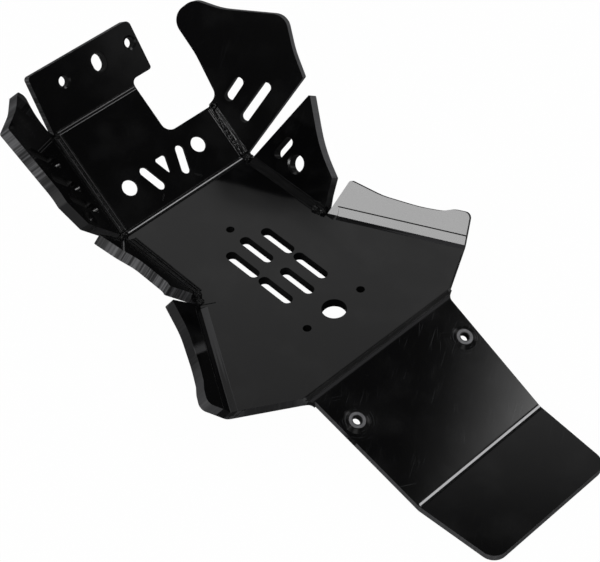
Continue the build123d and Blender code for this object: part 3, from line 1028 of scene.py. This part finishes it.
@dataclass
class SheetMaterial:
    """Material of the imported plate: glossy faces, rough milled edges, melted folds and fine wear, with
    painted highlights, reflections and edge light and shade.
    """

    finish: Gloss = Gloss()
    faces: FlatFaces = FlatFaces()
    fold_marks: FoldMarks = FoldMarks()
    edges: CutEdges = CutEdges()
    grooves: Grooves = Grooves()
    seats: BoltSeats = BoltSeats()
    bend: BendMarks = BendMarks()
    wing_reflection: WingReflection = WingReflection()
    hairs: Hairs = Hairs()
    tail_fade: float = 1.0
    streak_tone: Span = (0.46, 0.72)
    haze_scale: float = 24.0
    haze_detail: float = 4.0
    haze_tone: Span = (0.46, 0.70)
    smear_stretch: Triple = (1.0, 0.35, 1.0)
    smear_scale: float = 30.0
    smear_detail: float = 5.0
    smear_tone: Span = (0.45, 0.8)
    wave_scale: float = 11.0
    wave_strength: float = 0.1
    wave_height: float = 0.6
    edge_strength: float = 0.5
    edge_height: float = 0.4
    streak_strength: float = 0.6
    streak_height: float = 0.5

    def build(self) -> bpy.types.Material:
        """Make the material.

        Returns:
            The finished material.
        """
        material, pen = blank_material("sheet_gloss_black")
        finish = self.finish
        place = pen.add("ShaderNodeTexCoord")
        where = place.outputs["Object"]
        tail = pen.local(where, FRAMES[Panel.TAIL])
        not_flat = pen.rest(self.faces.mask(pen, where, place.outputs["Normal"]))
        melted, crest_glint, rim, streak = self.fold_marks.masks(pen, where)
        crest_glint = pen.times(crest_glint, not_flat)
        melted = pen.times(melted, not_flat)
        smooth = inside_any(pen, where, SMOOTH_WALLS)
        wall = pen.times(smooth, not_flat)
        smooth = pen.most(smooth, inside_any(pen, where, MILLED_GROOVES))
        cut = pen.times(not_flat, pen.rest(melted), pen.rest(smooth))
        ridges = self.edges.ridges(pen, where)
        edge = pen.mix_color(self.edges.tone(pen, where, ridges), finish.cut_dark, finish.cut_light)
        melt = pen.mix_color(pen.ramp(streak, self.streak_tone), finish.melt_dark, finish.melt_light)
        on_tail = pen.ramp_mm(TAIL_FACE.outside(pen, where), self.tail_fade, 0.0)
        seats, arcs = self.seats.marks(pen, tail)
        wear = pen.most(self.hairs.mask(pen, tail, on_tail), pen.times(arcs, on_tail))
        grooved, groove_streak = self.grooves.floor_side(pen, where)
        grooved = pen.times(grooved, not_flat)
        milled = pen.mix_color(groove_streak, finish.milled_dark, finish.milled_light)
        bend_line, bend_sheen = self.bend.marks(pen, tail)

        haze = pen.ramp(pen.noise(where, self.haze_scale, self.haze_detail), self.haze_tone)
        color = pen.mix_color(haze, finish.black, finish.haze)
        layers = (
            (wear, finish.scratch),
            # Cut edges: their own grey and chatter, with painted light and shade stepped along them.
            (cut, edge),
            (melted, melt),
            (grooved, milled),
            (rim, finish.black),
            # Painted highlight along the fold crests.
            (crest_glint, finish.crest_highlight),
            # Painted reflection in the bend between floor and tail.
            (bend_sheen, finish.bend),
            # Painted reflection across the left rear wing.
            (self.wing_reflection.mask(pen, where), finish.smudge_and_reflection),
            # Painted highlight on the tops of the bolt seats.
            (pen.times(seats, on_tail), finish.seat_glint),
        )
        for mask, tone in layers:
            color = pen.mix_color(mask, color, tone)

        # Real smudges: patches of higher roughness on the faces.
        smudge_and_reflection = pen.noise(pen.scaled(where, self.smear_stretch), self.smear_scale, self.smear_detail)
        smudge_and_reflection = pen.times(pen.ramp(smudge_and_reflection, self.smear_tone), finish.smear_roughness)
        gloss = pen.math("ADD", finish.face_roughness, smudge_and_reflection)
        lines = pen.most(self.grooves.line(pen, where), pen.most(rim, bend_line))
        levels = (
            (wear, finish.wear_roughness),
            (wall, finish.wall_roughness),
            (cut, finish.cut_roughness),
            (melted, finish.melt_roughness),
            (grooved, finish.wall_roughness),
            (lines, finish.line_roughness),
        )
        for mask, level in levels:
            gloss = pen.mix(mask, gloss, level)

        normal = pen.bump(pen.noise(where, self.wave_scale), self.wave_strength, self.wave_height)
        normal = pen.bump(ridges, pen.times(cut, self.edge_strength), self.edge_height, normal)
        normal = pen.bump(streak, pen.times(melted, self.streak_strength), self.streak_height, normal)
        pen.plastic(color, gloss, normal)
        return material


@dataclass
class MeltMaterial:
    """Material of the added melted plastic: glossy, a little greyer and duller in blotches."""

    finish: Gloss = Gloss()
    blotch_scale: float = 420.0
    blotch_detail: float = 3.0
    blotches: Span = (0.42, 0.7)
    roughness: Span = (0.2, 0.36)
    grain_scale: float = 700.0
    grain_strength: float = 0.6
    grain_height: float = 0.5

    def build(self) -> bpy.types.Material:
        """Make the material.

        Returns:
            The finished material.
        """
        material, pen = blank_material("melted_black")
        where = pen.add("ShaderNodeTexCoord").outputs["Object"]
        blotch = pen.ramp(pen.noise(where, self.blotch_scale, self.blotch_detail), self.blotches)
        color = pen.mix_color(blotch, self.finish.melt_dark, self.finish.melt_light)
        grain = pen.noise(where, self.grain_scale, MORE_DETAIL)
        normal = pen.bump(grain, self.grain_strength, self.grain_height)
        pen.plastic(color, pen.mix(blotch, *self.roughness), normal)
        return material


@dataclass
class MeltPiece:
    """Piece of melted plastic on a panel of the plate, with its sizes in millimetres."""

    name: str
    panel: Panel
    spot: Triple

    def shape(self) -> bmesh.types.BMesh:
        """Return the piece's shape round its spot."""
        raise NotImplementedError

    def build(self, material: bpy.types.Material) -> bpy.types.Object:
        """Make the piece's object and let it ride with the plate.

        Args:
            material: the melted finish.

        Returns:
            The new object.
        """
        shape = self.shape()
        place = FRAMES[self.panel] @ Matrix.Translation(Vector(self.spot) * MM)
        bmesh.ops.transform(shape, matrix=place, verts=shape.verts)
        bmesh.ops.recalc_face_normals(shape, faces=shape.faces)
        mesh = bpy.data.meshes.new(self.name)
        shape.to_mesh(mesh)
        shape.free()
        for polygon in mesh.polygons:
            polygon.use_smooth = True
        piece = added(self.name, mesh)
        piece.data.materials.append(material)
        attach(piece, "root")
        LOG.info("%s made", self.name)
        return piece


@dataclass
class MeltBead(MeltPiece):
    """Rope of melted plastic that the welding tool left along a fold."""

    run: float
    radius: float
    wobble: float
    seed: float
    sides: int = 14
    ring_pitch: float = 0.7
    taper_length: float = 2.5
    end_size: float = 0.35
    run_scale: float = 330.0
    round_scale: float = 500.0
    drift_scale: float = 120.0
    drift: float = 0.35
    drift_row: float = 3.0
    softening: float = 0.35

    def shape(self) -> bmesh.types.BMesh:
        """Return the bead, with x along the fold.

        Returns:
            The bead's bmesh.
        """
        rope = bmesh.new()
        length = self.run * MM
        radius = self.radius * MM
        bmesh.ops.create_cone(rope, cap_ends=True, cap_tris=False, segments=self.sides, radius1=radius,
                              radius2=radius, depth=length)
        long_edges = [edge for edge in rope.edges if edge.calc_length() > length * 0.5]
        cuts = int(length / (self.ring_pitch * MM))
        bmesh.ops.subdivide_edges(rope, edges=long_edges, cuts=cuts, use_grid_fill=False)
        for vert in rope.verts:
            x, y, z = vert.co
            taper = min(1.0, (length / 2 - abs(z)) / (self.taper_length * MM) + self.end_size)
            at = Vector((z * self.run_scale, x * self.round_scale + self.seed, y * self.round_scale))
            grow = taper * (1.0 + self.wobble * noise.noise(at))
            along = Vector((z * self.drift_scale, self.seed, self.drift_row))
            drift = noise.noise(along) * self.radius * self.drift * MM
            vert.co = Vector((x * grow + drift, y * grow, z))
        bmesh.ops.smooth_vert(rope, verts=rope.verts, factor=self.softening, use_axis_x=True, use_axis_y=True,
                              use_axis_z=True)
        lay = Matrix.Rotation(math.radians(90.0), 4, "Y")
        bmesh.ops.transform(rope, matrix=lay, verts=rope.verts)
        return rope


@dataclass
class MeltLump(MeltPiece):
    """Lump of melted plastic where a strip runs out."""

    radius: float
    flat: float
    seed: float
    subdivisions: int = 4
    broad_swell: Span = (0.34, 1.9)
    fine_swell: Span = (0.14, 5.0)

    def shape(self) -> bmesh.types.BMesh:
        """Return the lump, round its spot.

        Returns:
            The lump's bmesh.
        """
        lump = bmesh.new()
        bmesh.ops.create_icosphere(lump, subdivisions=self.subdivisions, radius=self.radius * MM)
        broad, broad_scale = self.broad_swell
        fine, fine_scale = self.fine_swell
        for vert in lump.verts:
            way = vert.co.normalized()
            swell = 1.0 + broad * noise.noise(way * broad_scale + Vector((self.seed, 0.0, 0.0)))
            swell += fine * noise.noise(way * fine_scale + Vector((0.0, self.seed, 0.0)))
            vert.co = way * self.radius * MM * swell
        bmesh.ops.scale(lump, verts=lump.verts, vec=Vector((1.0, 1.0, self.flat)))
        return lump


@dataclass
class MeltRing(MeltPiece):
    """Ring of melted plastic where the welding tool was lifted off."""

    radius: float
    thickness: float
    sides: int = 14
    steps: int = 40
    wobble: float = 0.22
    wobble_scale: float = 420.0

    def shape(self) -> bmesh.types.BMesh:
        """Return the ring, round its spot.

        Returns:
            The ring's bmesh.
        """
        ring = bmesh.new()
        out = Matrix.Translation(Vector((self.radius * MM, 0.0, 0.0)))
        upright = out @ Matrix.Rotation(math.radians(90.0), 4, "X")
        bmesh.ops.create_circle(ring, cap_ends=False, segments=self.sides, radius=self.thickness / 2 * MM,
                                matrix=upright)
        bmesh.ops.spin(ring, geom=ring.verts[:] + ring.edges[:], cent=Vector(), axis=Vector((0.0, 0.0, 1.0)),
                       angle=math.tau, steps=self.steps, use_merge=True, use_duplicate=False)
        for vert in ring.verts:
            vert.co *= 1.0 + self.wobble * noise.noise(vert.co * self.wobble_scale)
        return ring


BEADS = (
    MeltBead("bead_right_front", Panel.RIGHT_FRONT, (-24.75, 0.4, 0.9), run=47.5, radius=1.4, wobble=0.7,
             seed=1.0),
    MeltBead("bead_left_front", Panel.LEFT_FRONT, (46.75, 0.4, 1.2), run=91.5, radius=1.3, wobble=0.5,
             seed=7.0),
    MeltBead("bead_left_mid", Panel.LEFT_MID, (58.0, 0.4, 1.2), run=78.0, radius=1.2, wobble=0.5,
             seed=11.0),
)
LUMPS = (
    MeltLump("lump_right_corner", Panel.FLOOR, (63.6, 102.6, 1.6), radius=3.9, flat=0.8, seed=2.0),
    MeltLump("lump_right_mid_rear", Panel.FLOOR, (62.4, 22.6, 1.4), radius=2.9, flat=0.7, seed=4.0),
    MeltLump("lump_right_mid_end", Panel.FLOOR, (63.6, 15.6, 1.6), radius=2.5, flat=0.8, seed=5.0),
    MeltLump("lump_left_mid_rear", Panel.FLOOR, (-63.4, 18.4, 1.2), radius=3.3, flat=0.8, seed=6.0),
    MeltLump("lump_left_mid_end", Panel.FLOOR, (-66.4, 12.6, -0.6), radius=3.4, flat=0.7, seed=7.5),
    MeltLump("lump_left_corner", Panel.FLOOR, (-63.6, 105.4, 1.4), radius=3.6, flat=0.8, seed=8.0),
    MeltLump("lump_left_flange", Panel.FACE, (-62.2, 92.2, 1.4), radius=2.6, flat=0.8, seed=9.0),
)
RINGS = (
    MeltRing("ring_right_front", Panel.RIGHT_FRONT, (-47.6, 2.6, 1.6), radius=2.3, thickness=1.7),
)


@dataclass
class Plate:
    """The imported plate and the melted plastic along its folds."""

    node: str = "skid_plate"

    def dress(self) -> None:
        """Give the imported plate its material."""
        plate = frame["nodes"][self.node]
        plate.data.materials.clear()
        plate.data.materials.append(SheetMaterial().build())
        LOG.info("%s dressed", self.node)

    def build_melt(self) -> None:
        """Add the beads, lumps and rings of melted plastic."""
        material = MeltMaterial().build()
        for piece in BEADS + LUMPS + RINGS:
            piece.build(material)


@dataclass(frozen=True)
class RoundPanel:
    """Soft round panel far away: its direction, its inner and outer radius in degrees, its glow."""

    toward: Triple
    inner: float
    outer: float
    strength: float

    def glow(self, pen: NodePen, way: Socket) -> Value:
        """Return the panel's light in the direction way.

        Args:
            pen: the pen that draws the nodes.
            way: the direction in which the light is seen.

        Returns:
            The strength there.
        """
        aim = pen.dot(way, Vector(self.toward).normalized())
        edge = (math.cos(math.radians(self.outer)), math.cos(math.radians(self.inner)))
        return pen.times(pen.ramp(aim, edge), self.strength)


@dataclass(frozen=True)
class FrontPanel:
    """Pale panel in front of the bike, which the floor mirrors; its spans are parts of a direction."""

    low_fade: Span = (0.835, 0.77)
    low_strength: float = 0.42
    high_fade: Span = (0.775, 0.715)
    high_strength: float = 0.13
    notch_side: Span = (0.440, 0.447)
    notch_top: Span = (0.703, 0.697)
    slope: float = 0.35
    slope_fade: Span = (0.5475, 0.5405)
    slope_end: Span = (0.486, 0.474)
    notch_light: float = 0.22
    start_y: Span = (0.22, 0.32)
    start_z: Span = (0.45, 0.60)
    start_x: Span = (0.0, 0.2)

    def glow(self, pen: NodePen, way: Socket) -> Value:
        """Return the panel's light in the direction way, with its dark notch.

        Args:
            pen: the pen that draws the nodes.
            way: the direction in which the light is seen.

        Returns:
            The strength there.
        """
        x, y, z = pen.split(way)
        low = pen.times(pen.ramp(z, self.low_fade), self.low_strength)
        high = pen.times(pen.ramp(z, self.high_fade), self.high_strength)
        slant = pen.math("SUBTRACT", z, pen.times(x, self.slope))
        slant = pen.times(pen.ramp(slant, self.slope_fade), pen.ramp(x, self.slope_end))
        notch = pen.most(pen.ramp(z, self.notch_top), slant)
        notch = pen.times(pen.ramp(x, self.notch_side), notch)
        glow = pen.times(pen.math("ADD", low, high), pen.mix(notch, 1.0, self.notch_light))
        start = pen.times(pen.ramp(y, self.start_y), pen.ramp(z, self.start_z), pen.ramp(x, self.start_x))
        return pen.times(glow, start)


@dataclass(frozen=True)
class SidePanel:
    """Soft panel to the right of the tail, brighter away from it; its spans are parts of a direction."""

    beside: Triple = (0.7071, -0.7071, 0.0)
    along: Triple = (0.7071, 0.7071, 0.0)
    start: float = 0.44
    width: float = 0.09
    power: float = 3.2
    strength: float = 5.1
    brightest: float = 5.0
    end: Span = (0.60, 0.57)
    near_end: Span = (0.06, 0.14)
    far_end: Span = (0.44, 0.36)
    bottom: Span = (0.5, 0.6)

    def glow(self, pen: NodePen, way: Socket) -> Value:
        """Return the panel's light in the direction way.

        Args:
            pen: the pen that draws the nodes.
            way: the direction in which the light is seen.

        Returns:
            The strength there.
        """
        beside = pen.dot(way, Vector(self.beside))
        along = pen.dot(way, Vector(self.along))
        up = pen.split(way)[2]
        rise = pen.math("DIVIDE", pen.math("SUBTRACT", beside, self.start), self.width)
        rise = pen.math("POWER", pen.most(rise, 0.0), self.power)
        glow = pen.math("MINIMUM", pen.times(rise, self.strength), self.brightest)
        ends = pen.times(pen.ramp(along, self.near_end), pen.ramp(along, self.far_end))
        return pen.times(glow, pen.ramp(beside, self.end), ends, pen.ramp(up, self.bottom))


@dataclass(frozen=True)
class Surround:
    """World round the plate: white to the camera, dark with pale panels in reflections."""

    base_glow: float = 0.035
    soft_light: float = 0.6
    panels: tuple[FrontPanel | SidePanel | RoundPanel, ...] = (
        FrontPanel(),
        SidePanel(),
        RoundPanel((0.56, -0.74, 0.38), 2.0, 10.0, 0.5),
        RoundPanel((0.455, 0.11, 0.883), 4.0, 9.0, 0.45),
        RoundPanel((-0.20, 0.75, 0.63), 6.0, 14.0, 0.7),
        RoundPanel((0.0, 0.0, 1.0), 8.0, 18.0, 0.4),
        RoundPanel((-0.35, -0.75, 0.55), 6.0, 14.0, 0.6),
        RoundPanel((0.95, -0.25, 0.2), 8.0, 18.0, 0.4),
    )

    def build(self) -> None:
        """Make the world and set it as the scene's."""
        world = bpy.data.worlds.new("soft_surround")
        world.use_nodes = True
        world.node_tree.nodes.clear()
        pen = NodePen(world.node_tree)
        way = pen.add("ShaderNodeTexCoord").outputs["Generated"]
        glow: Value = self.base_glow
        for panel in self.panels:
            glow = pen.math("ADD", glow, panel.glow(pen, way))
        path = pen.add("ShaderNodeLightPath")
        strength = pen.mix(path.outputs["Is Glossy Ray"], self.soft_light, glow)
        strength = pen.mix(path.outputs["Is Camera Ray"], strength, 1.0)
        back = pen.add("ShaderNodeBackground")
        back.inputs["Color"].default_value = WHITE
        pen.join(strength, back.inputs["Strength"])
        output = pen.add("ShaderNodeOutputWorld")
        pen.join(back.outputs[0], output.inputs["Surface"])
        bpy.context.scene.world = world


@dataclass(frozen=True)
class Sweep:
    """White floor under the plate: paper white with a faint shadow, clear from below."""

    size: float = 14.0
    gap: float = 0.5
    matt: Color = (0.82, 0.82, 0.82, 1.0)
    mirrored: Color = (0.10, 0.10, 0.10, 1.0)
    paper_share: float = 0.985

    def build(self) -> None:
        """Lay the floor just under the plate's lowest point."""
        sweep = bmesh.new()
        bmesh.ops.create_grid(sweep, x_segments=1, y_segments=1, size=self.size / 2)
        low = CAD_BOX[0].z - self.gap * MM
        bmesh.ops.translate(sweep, verts=sweep.verts, vec=Vector((0, 0, low)))
        mesh = bpy.data.meshes.new("floor_sweep")
        sweep.to_mesh(mesh)
        sweep.free()
        floor = added("floor_sweep", mesh)
        floor.data.materials.append(self.material())
        LOG.info("floor_sweep laid")

    def material(self) -> bpy.types.Material:
        """Return the floor's white.

        Returns:
            The finished material.
        """
        material, pen = blank_material("white_sweep")
        path = pen.add("ShaderNodeLightPath")
        matt = pen.add("ShaderNodeBsdfDiffuse")
        shade = pen.mix_color(path.outputs["Is Glossy Ray"], self.matt, self.mirrored)
        pen.join(shade, matt.inputs["Color"])
        glow = pen.add("ShaderNodeEmission")
        share = pen.times(path.outputs["Is Camera Ray"], self.paper_share)
        paper = pen.mix_shader(share, matt, glow)
        below = pen.add("ShaderNodeNewGeometry").outputs["Backfacing"]
        surface = pen.mix_shader(below, paper, pen.add("ShaderNodeBsdfTransparent"))
        output = pen.add("ShaderNodeOutputMaterial")
        pen.join(surface.outputs[0], output.inputs["Surface"])
        return material


@dataclass(frozen=True)
class SoftBox:
    """Rectangular soft box that faces the plate: angles in degrees, sizes in metres, power in watts."""

    name: str = "left_soft_box"
    azimuth: float = -167.5
    rise: float = 33.3
    distance: float = 6.0
    size: Span = (1.6, 1.75)
    power: float = 84.0

    def build(self) -> None:
        """Hang the soft box."""
        data = bpy.data.lights.new(self.name, "AREA")
        data.shape = "RECTANGLE"
        data.size, data.size_y = self.size
        data.energy = self.power
        lamp = added(self.name, data)
        turn, rise = math.radians(self.azimuth), math.radians(self.rise)
        aim = Vector((math.cos(rise) * math.cos(turn), math.cos(rise) * math.sin(turn), math.sin(rise)))
        lamp.location = aim * self.distance
        lamp.rotation_mode = "QUATERNION"
        lamp.rotation_quaternion = aim.to_track_quat("Z", "Y")
        lamp.visible_camera = False
        LOG.info("%s hung", self.name)


@dataclass(frozen=True)
class Camera:
    """Camera at the photograph's view: its place in metres, its axes and its lens."""

    place: Triple = (-0.58692, -0.68563, 0.95716)
    right: Triple = (0.72740, -0.68570, -0.02660)
    down: Triple = (-0.51702, -0.52216, -0.67826)
    lens: float = 104.01
    sensor: float = 36.0
    clip: Span = (0.01, 60.0)

    def build(self) -> None:
        """Make the camera and set it as the scene's."""
        data = bpy.data.cameras.new("camera")
        data.sensor_width = self.sensor
        data.lens = self.lens
        data.clip_start, data.clip_end = self.clip
        right = Vector(self.right).normalized()
        up = -Vector(self.down).normalized()
        basis = Matrix((right, up, right.cross(up))).transposed().to_4x4()
        camera = added("camera", data)
        camera.matrix_world = Matrix.Translation(Vector(self.place)) @ basis
        bpy.context.scene.camera = camera


@dataclass
class Studio:
    """Camera, white floor, surround and soft box."""

    camera: Camera = Camera()
    sweep: Sweep = Sweep()
    surround: Surround = Surround()
    soft_box: SoftBox = SoftBox()

    def build(self) -> None:
        """Make the whole studio."""
        self.camera.build()
        self.sweep.build()
        self.surround.build()
        self.soft_box.build()
        bpy.context.scene.view_settings.view_transform = "Standard"


def main() -> None:
    """Build the studio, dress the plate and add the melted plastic."""
    logging.basicConfig(level=logging.INFO)
    Studio().build()
    plate = Plate()
    plate.dress()
    plate.build_melt()


if __name__ == "__main__":
    main()
